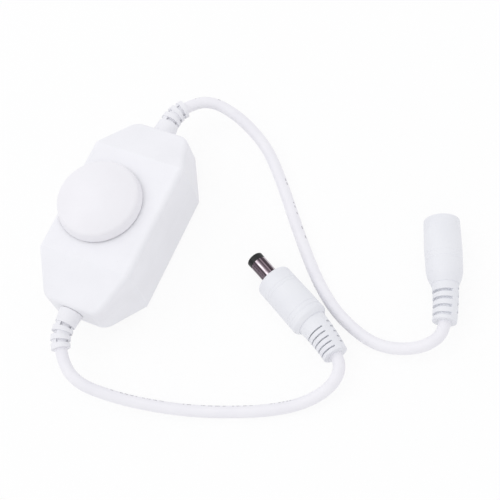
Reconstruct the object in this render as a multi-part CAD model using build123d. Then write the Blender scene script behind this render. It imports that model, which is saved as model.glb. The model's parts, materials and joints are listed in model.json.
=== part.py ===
from build123d import *
import math
import os

os.makedirs("parts", exist_ok=True)

# The casing in millimetres: X along it, Y across it, Z up from the face it stands on
LENGTH = 67.0
WIDTH = 32.6
HEIGHT = 24.3
CORNER_X = 13.7
CORNER_Y = 6.5
END_DROP = 6.5
PARTING_RISE = 0.65
PARTING_Z = HEIGHT / 2 + PARTING_RISE
BOARD_DROP = 12.3
BOARD_TOP = HEIGHT - BOARD_DROP
WALL = 1.8
END_CORNER_R = 4.5
TOP_EDGE_R = 1.8
BOTTOM_EDGE_R = 1.4
TONGUE = 1.2

# Clearances shared by every fit
RUNNING_GAP = 0.05
LOOSE_GAP = 0.3
CONTACT_GAP = 0.15
SEAT_GAP = 0.1
TIP_GAP = 0.6

# Screws that close the casing and the ones that hold the board
SCREW_X = 23.0
SCREW_Y = 8.2
SCREW_SEAT = 5.5
SCREW_DROP = 6.0
SCREW_TOP = HEIGHT - SCREW_DROP
SCREW_R = 1.0
SCREW_HEAD_R = 1.9
SCREW_HEAD = 1.4
BOSS_R = 2.6
BOSS_FOOT_R = 3.4
POST_X = 15.0
POST_Y = 9.0
POST_R = 2.4
POST_SCREW_RISE = 5.0
POST_SCREW_TOP = BOARD_TOP + POST_SCREW_RISE

# Knob
KNOB_Y = 3.9
KNOB_R = 13.95
KNOB_SHOULDER_R = 13.2
KNOB_GAP = 0.55
KNOB_SIDE = 3.25
KNOB_DOME = 3.2
KNOB_EDGE_R = 1.6
KNOB_WALL = 1.5
KNOB_RIBS = 4
RIB = 0.9
RIB_LIFT = 1.6
HUB_R = 4.0
HUB_REACH = 3.5
HUB_HOLE_GAP = 0.5

# Shaft and the pot that stands on the board
SHAFT_R = 3.0
SHAFT_FLAT = 1.5
SHAFT_RISE = 4.1
SHAFT_TOP = HEIGHT + SHAFT_RISE
PILOT_R = 1.5
POT_R = 8.0
POT_DEPTH = 5.8
POT_WALL = 0.8
POT_FLOOR = 1.0
PLATE_THICK = 0.8
BUSH_R = 4.0
BUSH_LENGTH = 1.7
TRACK_R = 6.9
TRACK_THICK = 0.7
FILM = 0.1
OUTER_FILM = (4.5, 5.8)
INNER_FILM = (3.3, 4.2)
ROTOR_R = 6.4
ROTOR_THICK = 1.0
ROTOR_RISE = 3.2
ROTOR_Z = BOARD_TOP + ROTOR_RISE
ROTOR_DIMPLE_R = 0.6
LEAF = 0.25
FINGER_REACH = 1.6
FINGER_TIP = 0.6
FINGER_WIDTH = 0.6
CLIP_RISE = 4.7
CLIP_Z = BOARD_TOP + CLIP_RISE
CLIP_THICK = 0.4
CLIP_R = 4.4
CLIP_GROOVE = 0.45
TERMINAL_PITCH = 5.0
TERMINAL_WIDTH = 1.2
TERMINAL_THICK = 0.3
TERMINAL_Y = -5.3

# Board and what is soldered to it
BOARD_X = 38.0
BOARD_Y = 25.2
BOARD_THICK = 1.6
BOARD_CORNER_R = 1.5
CAN_AT = (14.0, 7.2)
CAN_R = 3.15
CAN_HIGH = 7.0
CAN_SEAT = 0.3
LEAD_R = 0.25
LEAD_PITCH = 2.5
TRANSISTOR_AT = (-12.6, -7.6)
TRANSISTOR = (6.5, 6.1, 2.0)
TRANSISTOR_TAB = (5.3, 7.2, 0.5)
LEG = (0.8, 2.6, 0.5)
LEG_PITCH = 4.6
CHIP_AT = (0.0, -9.4)
CHIP = (4.9, 3.9, 1.4)
CHIP_PIN = (0.42, 1.0, 0.2)
CHIP_PIN_PITCH = 1.27
CHIP_SIDE_PINS = 4
CHIP_LIFT = 0.15
DIODE_AT = (8.4, -10.0)
DIODE = (4.3, 2.6, 2.1)
DIODE_CAP = (0.35, 1.6, 0.9)
RESISTOR = (2.0, 1.25, 0.5)
RESISTORS_AT = [(-6.3, -8.0), (-6.3, -10.4), (5.2, -8.2), (-12.8, 0.2), (-12.8, 2.6)]
CERAMIC = (2.0, 1.25, 0.95)
CERAMICS_AT = [(9.6, -6.4), (12.6, -4.6), (12.4, 1.4)]
SOLDER_R = 0.95
SOLDER_HIGH = 0.8

# Cords, the wires inside them and the strain reliefs
CORD_R = 1.9
WIRE_R = 0.75
WIRE_APART = 0.9
PAD_X = 16.8
PAD_APART = 2.4
JACKET_STUB = 3.0
RELIEF_Y = 1.0
RELIEF_NECK_R = 3.15
RELIEF_FLANGE_R = 3.75
RELIEF_FLANGE = 1.2
COLLAR_R = 3.9
COLLAR_END_R = 3.35
COLLAR_EDGE_R = 0.12
COLLAR_LENGTH = 4.6
RELIEF_CORE_R = 2.2
RELIEF_RING_R = 3.35
RELIEF_RING_FALL = 0.15
RELIEF_BRIDGE_FALL = 0.4
RELIEF_SLOT = 3.8
RELIEF_SLOT_TURN = -70.0
RELIEF_BEND_R = 12.8
RELIEF_RINGS = 3
RING_WIDTH = 1.5
RING_GAP = 1.15
RELIEF_TILT = 15.0
FIRST_RUN = 5.15
LAST_RUN = 2.6

# Coaxial power plug, a standard low-voltage size
BARREL_R = 2.75
BARREL_LENGTH = 9.5
BARREL_WALL = 0.3
BARREL_ROOT = 5.0
ROOT_RING_R = 3.15
ROOT_RING = 0.7
CAP_LENGTH = 2.2
CAP_EDGE = 0.25
PIN_HOLE_R = 1.05
CONTACT_WALL = 0.4
CONTACT_INSET = 0.5

# Coaxial power jack, made to take that plug
JACK_PIN_R = 1.0
JACK_PIN_LENGTH = 9.2
LINER_R = 4.3
LINER_HOLE_R = 2.95
LINER_LENGTH = 12.0
LINER_INSET = 0.4
LINER_BACK = 1.2
SPRING_WIDTH = 1.8
SPRING_THICK = 0.3
PIN_ROOT_R = 1.5

# Moulded grips of the two connectors: where the front stands, its heading and its form
PLUG = {
    "front": (0.93, -52.75),
    "heading": 62.0,
    "length": 19.9,
    "stations": [(0.0, 5.9), (0.5, 6.0), (0.94, 6.1), (1.0, 5.1)],
    "front_edge": 1.2,
    "shoulder_edge": 0.8,
    "grooves": [(5.0, 0.12), (6.2, 0.12), (15.4, 0.12), (17.0, 0.12)],
    "tail": 13.1,
    "tail_turn": 10.0,
    "tail_r": (4.7, 3.95),
    "first_slot": 3.6,
    "slot_pitch": 0.915,
    "slot_width": 0.5,
    "slots": 10,
    "slot_sides": (124.0, -56.0),
}
JACK = {
    "front": (37.3, -95.22),
    "heading": 23.8,
    "length": 22.0,
    "stations": [(0.0, 5.65), (0.45, 5.9), (0.8, 5.7), (0.9, 5.25), (1.0, 4.3)],
    "front_edge": 0.6,
    "shoulder_edge": 5.0,
    "grooves": [(3.6, 0.05), (12.3, 0.1), (14.2, 0.1)],
    "tail": 12.1,
    "tail_turn": 8.0,
    "tail_r": (4.15, 3.75),
    "first_slot": 1.77,
    "slot_pitch": 1.25,
    "slot_width": 1.0,
    "slots": 8,
    "slot_sides": (143.0, -37.0),
}
GROOVE_R = 0.5
TAIL_CORE_R = 2.9
SLOT_EDGE = 0.26


def save(shape, node):
    """Writes one piece as a step file."""
    export_step(shape, f"parts/{node}.step")


def joined(shapes):
    """One solid made of several that touch."""
    whole = shapes[0]
    for shape in shapes[1:]:
        whole = whole + shape
    return whole


def together(shapes):
    """Several separate solids kept as one piece."""
    return Compound(children=[solid for shape in shapes for solid in shape.solids()])


def tube(outside, inside, low, high, at=(0, 0)):
    """An upright ring from one height to another."""
    return extrude(Pos(at[0], at[1], low) * (Circle(outside) - Circle(inside)), high - low)


def rod(radius, low, high, at=(0, 0)):
    """An upright round bar from one height to another."""
    return extrude(Pos(at[0], at[1], low) * Circle(radius), high - low)


def block(size_x, size_y, low, high, at=(0, 0)):
    """An upright rectangular bar from one height to another."""
    return extrude(Pos(at[0], at[1], low) * Rectangle(size_x, size_y), high - low)


def along_x(radius, low, high, y, z):
    """A round bar that lies along X between two positions."""
    return extrude(Plane.YZ.offset(low) * Pos(y, z) * Circle(radius), high - low)


def lathe(points):
    """A round piece about Z from a closed outline of radius and height."""
    return revolve(make_face(Plane.XZ * Polyline(*points, close=True)), Axis.Z)


def swing(face, axis, start, end):
    """What a face sweeps out as it turns round an axis from one angle to another."""
    return revolve(face.rotate(axis, math.degrees(start)), axis, math.degrees(end - start))


def end_of_bend(start, forward, toward, radius, turn):
    """Where an arc ends and which way it points there."""
    point = start + forward * (radius * math.sin(turn)) + toward * (radius * (1 - math.cos(turn)))
    return point, forward * math.cos(turn) + toward * math.sin(turn)


def level_direction(heading):
    """The horizontal direction at a heading in degrees from X towards Y."""
    return Vector(math.cos(math.radians(heading)), math.sin(math.radians(heading)), 0)


def tube_along(points, radius, name, share=0.45):
    """A round cord along straight runs joined by arcs, each as wide as its shorter run allows."""
    route = [Vector(*point) for point in points]
    bends = []
    for before, here, after in zip(route[:-2], route[1:-1], route[2:]):
        half_turn = math.radians((here - before).get_angle(after - here)) / 2
        bends.append(share * min((here - before).length, (after - here).length) / math.tan(half_turn))
    path = FilletPolyline(*route, radius=bends)
    solid = sweep(Plane(origin=path @ 0, z_dir=path % 0) * Circle(radius), path=path)
    full = math.pi * radius**2 * path.length
    print(name, "length", round(path.length, 2), "volume share", round(solid.volume / full, 4))
    print(name, "bend radii", [round(bend, 1) for bend in bends])
    return solid


def plan(inset):
    """The casing seen from above, drawn in by inset: a rectangle with its corners cut off."""
    outline = Polygon(
        (LENGTH / 2, -WIDTH / 2 + CORNER_Y),
        (LENGTH / 2, WIDTH / 2 - CORNER_Y),
        (LENGTH / 2 - CORNER_X, WIDTH / 2),
        (-LENGTH / 2 + CORNER_X, WIDTH / 2),
        (-LENGTH / 2, WIDTH / 2 - CORNER_Y),
        (-LENGTH / 2, -WIDTH / 2 + CORNER_Y),
        (-LENGTH / 2 + CORNER_X, -WIDTH / 2),
        (LENGTH / 2 - CORNER_X, -WIDTH / 2),
        align=None,
    )
    if inset:
        outline = offset(outline, -inset, kind=Kind.INTERSECTION)
    ends = outline.vertices().filter_by(lambda v: abs(v.X) > (LENGTH - CORNER_X) / 2)
    return fillet(ends, END_CORNER_R - inset)


def side(inset):
    """The casing seen from the side, drawn in by inset: both ends narrow above and below."""
    outline = Polygon(
        (LENGTH / 2, END_DROP),
        (LENGTH / 2, HEIGHT - END_DROP),
        (LENGTH / 2 - CORNER_X, HEIGHT),
        (-LENGTH / 2 + CORNER_X, HEIGHT),
        (-LENGTH / 2, HEIGHT - END_DROP),
        (-LENGTH / 2, END_DROP),
        (-LENGTH / 2 + CORNER_X, 0),
        (LENGTH / 2 - CORNER_X, 0),
        align=None,
    )
    if inset:
        outline = offset(outline, -inset, kind=Kind.INTERSECTION)
    return outline


def casing_form(inset):
    """The solid that both outlines bound."""
    upright = extrude(plan(inset), HEIGHT)
    return upright & extrude(Plane.XZ * side(inset), WIDTH / 2, both=True)


def borders(shape, low, high, sloping):
    """The edges between the side walls and the faces above or below, the level or the sloping ones."""
    found = [e for e in shape.edges() if low < e.center().Z < high and e.length > CORNER_X / 2]
    found = [e for e in found if abs(e.center().Y) > WIDTH / 2 - CORNER_Y]
    return [e for e in found if (abs(e.center().X) > LENGTH / 2 - CORNER_X) == sloping]


def slab(low, high):
    """Everything between two heights, wider than the casing."""
    return block(2 * LENGTH, 2 * WIDTH, low, high)


def screw(at, seat, top):
    """A cross-head screw driven upward, its head below the seat."""
    head = rod(SCREW_HEAD_R, seat - SCREW_HEAD, seat, at)
    head = fillet(head.edges().group_by(Axis.Z)[0], SCREW_HEAD / 3)
    shank = rod(SCREW_R, seat, top, at)
    shank = chamfer(shank.edges().group_by(Axis.Z)[-1], SCREW_R * 0.6)
    long = SCREW_HEAD_R * 1.2
    narrow = SCREW_HEAD_R * 0.25
    depth = (seat - SCREW_HEAD, seat - SCREW_HEAD / 2)
    return head + shank - block(long, narrow, *depth, at) - block(narrow, long, *depth, at)


# The two halves of the casing
corners = [(x, y) for x in (-SCREW_X, SCREW_X) for y in (-SCREW_Y, SCREW_Y)]
posts = [(-POST_X, POST_Y), (POST_X, -POST_Y)]
outside = casing_form(0)
for sloping in (False, True):
    outside = fillet(borders(outside, HEIGHT - END_DROP, HEIGHT + WALL, sloping), TOP_EDGE_R)
    outside = fillet(borders(outside, -WALL, END_DROP, sloping), BOTTOM_EDGE_R)
half_in = casing_form(WALL / 2)
shell = outside - casing_form(WALL)

top = shell & slab(PARTING_Z, HEIGHT + WALL)
top = joined([top] + [rod(BOSS_R, PARTING_Z, HEIGHT, at) & half_in for at in corners])
top = joined([top] + [rod(POST_R, BOARD_TOP, HEIGHT, at) & half_in for at in posts])
recess = extrude(Pos(0, 0, PARTING_Z) * (plan(WALL / 2 - RUNNING_GAP) - plan(WALL)), TONGUE + LOOSE_GAP)
top = top - recess
for at in corners:
    top = top - rod(SCREW_R + RUNNING_GAP, PARTING_Z, SCREW_TOP + TIP_GAP, at)
for at in posts:
    top = top - rod(SCREW_R + RUNNING_GAP, BOARD_TOP, POST_SCREW_TOP + TIP_GAP, at)
top = top - rod(HUB_R + HUB_HOLE_GAP, PARTING_Z, HEIGHT + WALL, (0, KNOB_Y))

bottom = shell & slab(-WALL, PARTING_Z)
bottom = bottom + extrude(Pos(0, 0, PARTING_Z) * (plan(WALL / 2) - plan(WALL)), TONGUE)
bottom = joined([bottom] + [rod(BOSS_FOOT_R, 0, PARTING_Z, at) & half_in for at in corners])
for at in corners:
    bottom = bottom - rod(SCREW_HEAD_R + 2 * LOOSE_GAP, -WALL, SCREW_SEAT, at)
    bottom = bottom - rod(SCREW_R + LOOSE_GAP, SCREW_SEAT, PARTING_Z, at)

for low in (-LENGTH / 2 - WALL, LENGTH / 2 - 2 * WALL):
    hole = along_x(RELIEF_NECK_R + SEAT_GAP, low, low + 3 * WALL, RELIEF_Y, PARTING_Z)
    top = top - hole
    bottom = bottom - hole
save(top, "top_casing")
save(bottom, "bottom_casing")
save(together([screw(at, SCREW_SEAT, SCREW_TOP) for at in corners]), "casing_screws")

# Knob with the hub that reaches down through the casing to the shaft
knob_low = HEIGHT + KNOB_GAP
hub_low = HEIGHT - HUB_REACH


def knob_form(inset):
    """The knob's outline drawn in by inset: a tapered side under a shallow dome."""
    shoulder = KNOB_SHOULDER_R - inset
    rise = knob_low + KNOB_SIDE - inset
    dome_r = (shoulder**2 + KNOB_DOME**2) / (2 * KNOB_DOME)
    half = math.asin(shoulder / dome_r) / 2
    middle = (dome_r * math.sin(half), rise + KNOB_DOME - dome_r * (1 - math.cos(half)))
    side_line = Polyline((0, rise + KNOB_DOME), (0, knob_low), (KNOB_R - inset, knob_low), (shoulder, rise))
    dome = ThreePointArc((shoulder, rise), middle, (0, rise + KNOB_DOME))
    return revolve(make_face(Plane.XZ * (side_line + dome)), Axis.Z)


knob = knob_form(0)
rim = [e for e in knob.edges() if e.center().Z > knob_low + KNOB_SIDE / 2 and e.length > KNOB_R]
hollow = knob_form(KNOB_WALL)
knob = fillet(rim, KNOB_EDGE_R) - hollow
ribs = rod(HUB_R, hub_low, knob_low + KNOB_SIDE + KNOB_DOME - KNOB_WALL / 2)
for index in range(KNOB_RIBS // 2):
    rib = block(2 * KNOB_R, RIB, knob_low + RIB_LIFT, knob_low + KNOB_SIDE + KNOB_DOME)
    ribs = ribs + (rib.rotate(Axis.Z, 180 * index / (KNOB_RIBS // 2)) & hollow)
bore = rod(SHAFT_R + RUNNING_GAP, hub_low, SHAFT_TOP + LOOSE_GAP)
keep = SHAFT_FLAT + RUNNING_GAP
bore = bore - block(2 * SHAFT_R, 2 * SHAFT_R, hub_low, SHAFT_TOP + 1, (0, keep + SHAFT_R))
knob = knob + ribs - bore
save(Pos(0, KNOB_Y, 0) * knob, "dimmer_knob")

# Pot, drawn round its own axis and then set on the board
pot_place = Pos(0, KNOB_Y, 0)
cup_top = BOARD_TOP + POT_DEPTH
plate_top = cup_top + PLATE_THICK
bush_top = plate_top + BUSH_LENGTH
track_low = BOARD_TOP + POT_FLOOR
track_top = track_low + TRACK_THICK + FILM

shaft = rod(SHAFT_R, ROTOR_Z - LEAF, SHAFT_TOP) + rod(PILOT_R, track_low + RUNNING_GAP, ROTOR_Z)
shaft = chamfer(shaft.edges().group_by(Axis.Z)[-1], LOOSE_GAP)
shaft = shaft - block(2 * SHAFT_R, 2 * SHAFT_R, bush_top, SHAFT_TOP, (0, SHAFT_FLAT + SHAFT_R))
shaft = shaft - tube(SHAFT_R + 1, SHAFT_R - CLIP_GROOVE, CLIP_Z, CLIP_Z + CLIP_THICK + RUNNING_GAP)
save(pot_place * shaft, "pot_shaft")

rotor = tube(ROTOR_R, SHAFT_R + RUNNING_GAP, ROTOR_Z, ROTOR_Z + ROTOR_THICK)
for angle in range(0, 360, 60):
    dimple_x = ROTOR_R - 2 * ROTOR_DIMPLE_R
    dimple = rod(ROTOR_DIMPLE_R, ROTOR_Z + ROTOR_THICK / 2, ROTOR_Z + ROTOR_THICK, (dimple_x, 0))
    rotor = rotor - dimple.rotate(Axis.Z, angle)
save(pot_place * rotor, "pot_rotor")

leaf_low = ROTOR_Z - LEAF
tip_low = track_top + CONTACT_GAP
wiper = tube(OUTER_FILM[1] - LOOSE_GAP, SHAFT_R + RUNNING_GAP, leaf_low, ROTOR_Z)
for near_r, far_r in (OUTER_FILM, INNER_FILM):
    finger = Polyline(
        (0, leaf_low),
        (FINGER_REACH - FINGER_TIP, tip_low + LEAF),
        (FINGER_REACH, tip_low + LEAF),
        (FINGER_REACH, tip_low),
        (FINGER_REACH - FINGER_TIP - SEAT_GAP, tip_low),
        (-2 * LEAF, leaf_low),
        close=True,
    )
    aside = near_r + 0.3 * (far_r - near_r) - FINGER_WIDTH / 2
    wiper = wiper + extrude(Plane.XZ.offset(aside) * make_face(finger), FINGER_WIDTH)
save(pot_place * wiper, "pot_wiper")

clip = tube(CLIP_R, SHAFT_R - CLIP_GROOVE + RUNNING_GAP, CLIP_Z, CLIP_Z + CLIP_THICK)
clip = clip - block(2 * CLIP_R, 1.8 * SHAFT_R, CLIP_Z, CLIP_Z + CLIP_THICK, (CLIP_R, 0))
save(pot_place * clip, "pot_retaining_ring")

cup = rod(POT_R, BOARD_TOP, cup_top) - rod(POT_R - POT_WALL, track_low, cup_top)
terminals = []
lead_holes = []
for x in (-TERMINAL_PITCH, 0, TERMINAL_PITCH):
    near_x = max(abs(x) - TERMINAL_WIDTH / 2, 0)
    inner_y = -math.sqrt((ROTOR_R + LOOSE_GAP) ** 2 - near_x**2)
    outer_y = TERMINAL_Y - KNOB_Y
    slot = (x, (inner_y + outer_y) / 2)
    strip = block(TERMINAL_WIDTH, inner_y - outer_y, track_top, track_top + TERMINAL_THICK, slot)
    foot = (x, outer_y + TERMINAL_THICK / 2)
    pin = block(TERMINAL_WIDTH, TERMINAL_THICK, BOARD_TOP - BOARD_THICK, track_top, foot)
    terminals.append(pot_place * (strip + pin))
    opening = (TERMINAL_WIDTH + LOOSE_GAP, POT_R, track_top - LOOSE_GAP / 2, cup_top)
    cup = cup - block(*opening, (x, inner_y - POT_R / 2))
    lead_holes.append((x, TERMINAL_Y + TERMINAL_THICK / 2))
save(pot_place * cup, "pot_body")
save(together(terminals), "pot_terminals")

plate = tube(POT_R, SHAFT_R + RUNNING_GAP, cup_top, plate_top)
plate = plate + tube(BUSH_R, SHAFT_R + RUNNING_GAP, plate_top, bush_top)
for side_x in (-1, 1):
    at = (side_x * (POT_R + SEAT_GAP + TERMINAL_THICK / 2), 0)
    tab = block(TERMINAL_THICK, 2.5 * TERMINAL_WIDTH, BOARD_TOP + POT_FLOOR, plate_top, at)
    strap = block(1, 2.5 * TERMINAL_WIDTH, cup_top, plate_top, (side_x * (POT_R - 0.4 + SEAT_GAP), 0))
    plate = plate + tab + strap
save(pot_place * plate, "pot_front_plate")

track = tube(TRACK_R, PILOT_R + RUNNING_GAP, track_low, track_top - FILM)
outer_band = tube(OUTER_FILM[1], OUTER_FILM[0], track_top - FILM, track_top)
break_at = (0, -POT_R / 2)
outer_band = outer_band - block(2 * TERMINAL_WIDTH, POT_R, track_top - FILM, track_top, break_at)
track = track + outer_band + tube(INNER_FILM[1], INNER_FILM[0], track_top - FILM, track_top)
save(pot_place * track, "pot_track")

# Board, its screws and the pieces soldered to it
board_low = BOARD_TOP - BOARD_THICK
outline = fillet(Rectangle(BOARD_X, BOARD_Y).vertices(), BOARD_CORNER_R)
board = extrude(Pos(0, 0, board_low) * outline, BOARD_THICK)
for at in posts:
    board = board - rod(SCREW_R + LOOSE_GAP, board_low, BOARD_TOP, at)
for at in lead_holes:
    hole = (TERMINAL_WIDTH + LOOSE_GAP, TERMINAL_THICK + LOOSE_GAP)
    board = board - block(*hole, board_low, BOARD_TOP, at)
can_leads = [(CAN_AT[0] + step, CAN_AT[1]) for step in (-LEAD_PITCH / 2, LEAD_PITCH / 2)]
for at in can_leads:
    board = board - rod(LEAD_R + CONTACT_GAP, board_low, BOARD_TOP, at)
save(board, "circuit_board")
save(together([screw(at, board_low, POST_SCREW_TOP) for at in posts]), "board_screws")

can_low = BOARD_TOP + CAN_SEAT
can = rod(CAN_R, can_low, can_low + CAN_HIGH, CAN_AT)
can = fillet(can.edges().group_by(Axis.Z)[-1], LOOSE_GAP)
can = can - tube(CAN_R + 1, CAN_R - LOOSE_GAP, can_low + 1.0, can_low + 1.5, CAN_AT)
cross = block(1.6 * CAN_R, LOOSE_GAP, can_low + CAN_HIGH - SEAT_GAP, can_low + CAN_HIGH, CAN_AT)
can = can - cross - cross.rotate(Axis((CAN_AT[0], CAN_AT[1], 0), (0, 0, 1)), 90)
save(can, "filter_capacitor")
save(together([rod(LEAD_R, board_low, can_low, at) for at in can_leads]), "capacitor_leads")


def chip_block(size, at, lift):
    """A small moulded block standing at a height over the board."""
    return block(size[0], size[1], BOARD_TOP + lift, BOARD_TOP + lift + size[2], at)


tab_thick = TRANSISTOR_TAB[2]
tab_shift = (TRANSISTOR_TAB[1] - TRANSISTOR[1]) / 2 + LOOSE_GAP
tab_at = (TRANSISTOR_AT[0], TRANSISTOR_AT[1] + tab_shift)
metal = chip_block(TRANSISTOR_TAB, tab_at, 0)
package = chip_block(TRANSISTOR, TRANSISTOR_AT, tab_thick)
package = chamfer(package.edges().group_by(Axis.Z)[-1], LOOSE_GAP)
legs = [metal]
for step in (-LEG_PITCH / 2, LEG_PITCH / 2):
    leg_y = TRANSISTOR_AT[1] - TRANSISTOR[1] / 2 - LEG[1] / 2 + tab_shift
    legs.append(chip_block(LEG, (TRANSISTOR_AT[0] + step, leg_y), 0))
save(package, "power_transistor")
save(together(legs), "transistor_legs")

chip = chip_block(CHIP, CHIP_AT, CHIP_LIFT)
chip = chamfer(chip.edges().group_by(Axis.Z)[-1], CHIP_LIFT)
mark_at = (CHIP_AT[0] - 0.35 * CHIP[0], CHIP_AT[1] - 0.3 * CHIP[1])
chip = chip - rod(LOOSE_GAP, BOARD_TOP + CHIP[2], BOARD_TOP + CHIP_LIFT + CHIP[2], mark_at)
save(chip, "control_chip")
pins = []
for row in (-1, 1):
    for index in range(CHIP_SIDE_PINS):
        x = CHIP_AT[0] + (index - (CHIP_SIDE_PINS - 1) / 2) * CHIP_PIN_PITCH
        root = row * (CHIP[1] / 2 + CHIP_PIN[2] / 2)
        foot = chip_block(CHIP_PIN, (x, CHIP_AT[1] + root + row * CHIP_PIN[1] / 2), 0)
        riser = (CHIP_PIN[0], CHIP_PIN[2], CHIP[2] / 2)
        pins.append(foot + chip_block(riser, (x, CHIP_AT[1] + root), 0))
save(together(pins), "chip_pins")

save(chamfer(chip_block(DIODE, DIODE_AT, 0).edges().group_by(Axis.Z)[-1], LOOSE_GAP), "diode")
ends = []
for row in (-1, 1):
    x = DIODE_AT[0] + row * (DIODE[0] + DIODE_CAP[0]) / 2
    ends.append(chip_block(DIODE_CAP, (x, DIODE_AT[1]), 0))
save(together(ends), "diode_ends")
save(together([chip_block(RESISTOR, at, 0) for at in RESISTORS_AT]), "resistors")
small = [chip_block(CERAMIC, at, 0) for at in CERAMICS_AT]
small = [fillet(piece.edges().group_by(Axis.Z)[-1], CONTACT_GAP) for piece in small]
save(together(small), "ceramic_capacitors")

wire_pads = [(x, RELIEF_Y + y) for x in (-PAD_X, PAD_X) for y in (-PAD_APART, PAD_APART)]
solder = []
for at in wire_pads + lead_holes + can_leads:
    cone = [(0, 0), (SOLDER_R / 3, 0), (SOLDER_R * 0.6, SOLDER_HIGH * 0.6)]
    cone += [(SOLDER_R, SOLDER_HIGH), (0, SOLDER_HIGH)]
    solder.append(Pos(at[0], at[1], board_low - SOLDER_HIGH) * lathe(cone))
save(together(solder), "solder_joints")

# Strain reliefs, drawn at the input end and mirrored for the output end
tilt = math.radians(RELIEF_TILT)
forward = Vector(1, 0, 0)
toward = Vector(0, -math.cos(tilt), -math.sin(tilt))
bend_start = Vector(LENGTH / 2 + SEAT_GAP + COLLAR_LENGTH, RELIEF_Y, PARTING_Z)
bend_axis = Axis(bend_start + toward * RELIEF_BEND_R, forward.cross(toward))
bend_plane = Plane(origin=bend_start, x_dir=toward, z_dir=forward)
neck_end = -COLLAR_LENGTH
neck_start = neck_end - SEAT_GAP - WALL
root = lathe(
    [
        (0, neck_start - RELIEF_FLANGE),
        (RELIEF_FLANGE_R, neck_start - RELIEF_FLANGE),
        (RELIEF_FLANGE_R, neck_start),
        (RELIEF_NECK_R, neck_start),
        (RELIEF_NECK_R, neck_end),
        (COLLAR_R, neck_end),
        (COLLAR_END_R, 0),
        (0, 0),
    ]
)
collar_edges = [e for e in root.edges() if abs(e.center().Z - neck_end) < SEAT_GAP]
root = fillet([e for e in collar_edges if e.radius > COLLAR_R - SEAT_GAP], COLLAR_EDGE_R)
relief = bend_plane.location * root
relief_turn = RELIEF_RINGS * (RING_GAP + RING_WIDTH) / RELIEF_BEND_R
relief = relief + swing(bend_plane * Circle(RELIEF_CORE_R), bend_axis, 0, relief_turn)
for index in range(RELIEF_RINGS):
    gap_start = index * (RING_GAP + RING_WIDTH) / RELIEF_BEND_R
    ring_start = gap_start + RING_GAP / RELIEF_BEND_R
    ring_end = ring_start + RING_WIDTH / RELIEF_BEND_R
    ring_r = RELIEF_RING_R - index * RELIEF_RING_FALL
    slot = Rot(0, 0, RELIEF_SLOT_TURN + 90 * index) * Rectangle(3 * ring_r, RELIEF_SLOT)
    slotted = Circle(ring_r - RELIEF_BRIDGE_FALL) - slot + Circle(RELIEF_CORE_R)
    relief = relief + swing(bend_plane * slotted, bend_axis, gap_start, ring_start)
    relief = relief + swing(bend_plane * Circle(ring_r), bend_axis, ring_start, ring_end)
save(relief, "input_strain_relief")
save(mirror(relief, Plane.YZ), "output_strain_relief")
cord_start, cord_out = end_of_bend(bend_start, forward, toward, RELIEF_BEND_R, relief_turn)

# The cords' cut ends inside the casing and the wires from them to the board
stub_end = LENGTH / 2 - WALL - RELIEF_FLANGE
stub = along_x(CORD_R, stub_end - JACKET_STUB, stub_end, RELIEF_Y, PARTING_Z)
save(stub, "input_jacket_end")
save(mirror(stub, Plane.YZ), "output_jacket_end")
for row, sign in ((1, "positive"), (-1, "negative")):
    leave_y = RELIEF_Y + row * WIRE_APART
    pad_y = RELIEF_Y + row * PAD_APART
    route = [
        (stub_end - JACKET_STUB, leave_y, PARTING_Z),
        (stub_end - JACKET_STUB - 2.6, leave_y, PARTING_Z),
        (stub_end - JACKET_STUB - 5.2, leave_y + row * 0.4, PARTING_Z + 1.9),
        (PAD_X + 3.0, pad_y - row * 0.3, PARTING_Z + 3.1 - row * 0.4),
        (PAD_X, pad_y, PARTING_Z + 2.6),
        (PAD_X, pad_y, BOARD_TOP),
    ]
    wire = tube_along(route, WIRE_R, f"{sign} wire")
    save(wire, f"input_{sign}_wire")
    save(mirror(wire, Plane.YZ), f"output_{sign}_wire")

# Moulded grips of the two connectors, drawn along Z towards the mating end
def radius_at(stations, share):
    """The radius of a grip at a share of its length, straight between its stations."""
    for (low, low_r), (high, high_r) in zip(stations[:-1], stations[1:]):
        if low <= share <= high:
            return low_r + (high_r - low_r) * (share - low) / (high - low)


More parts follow.
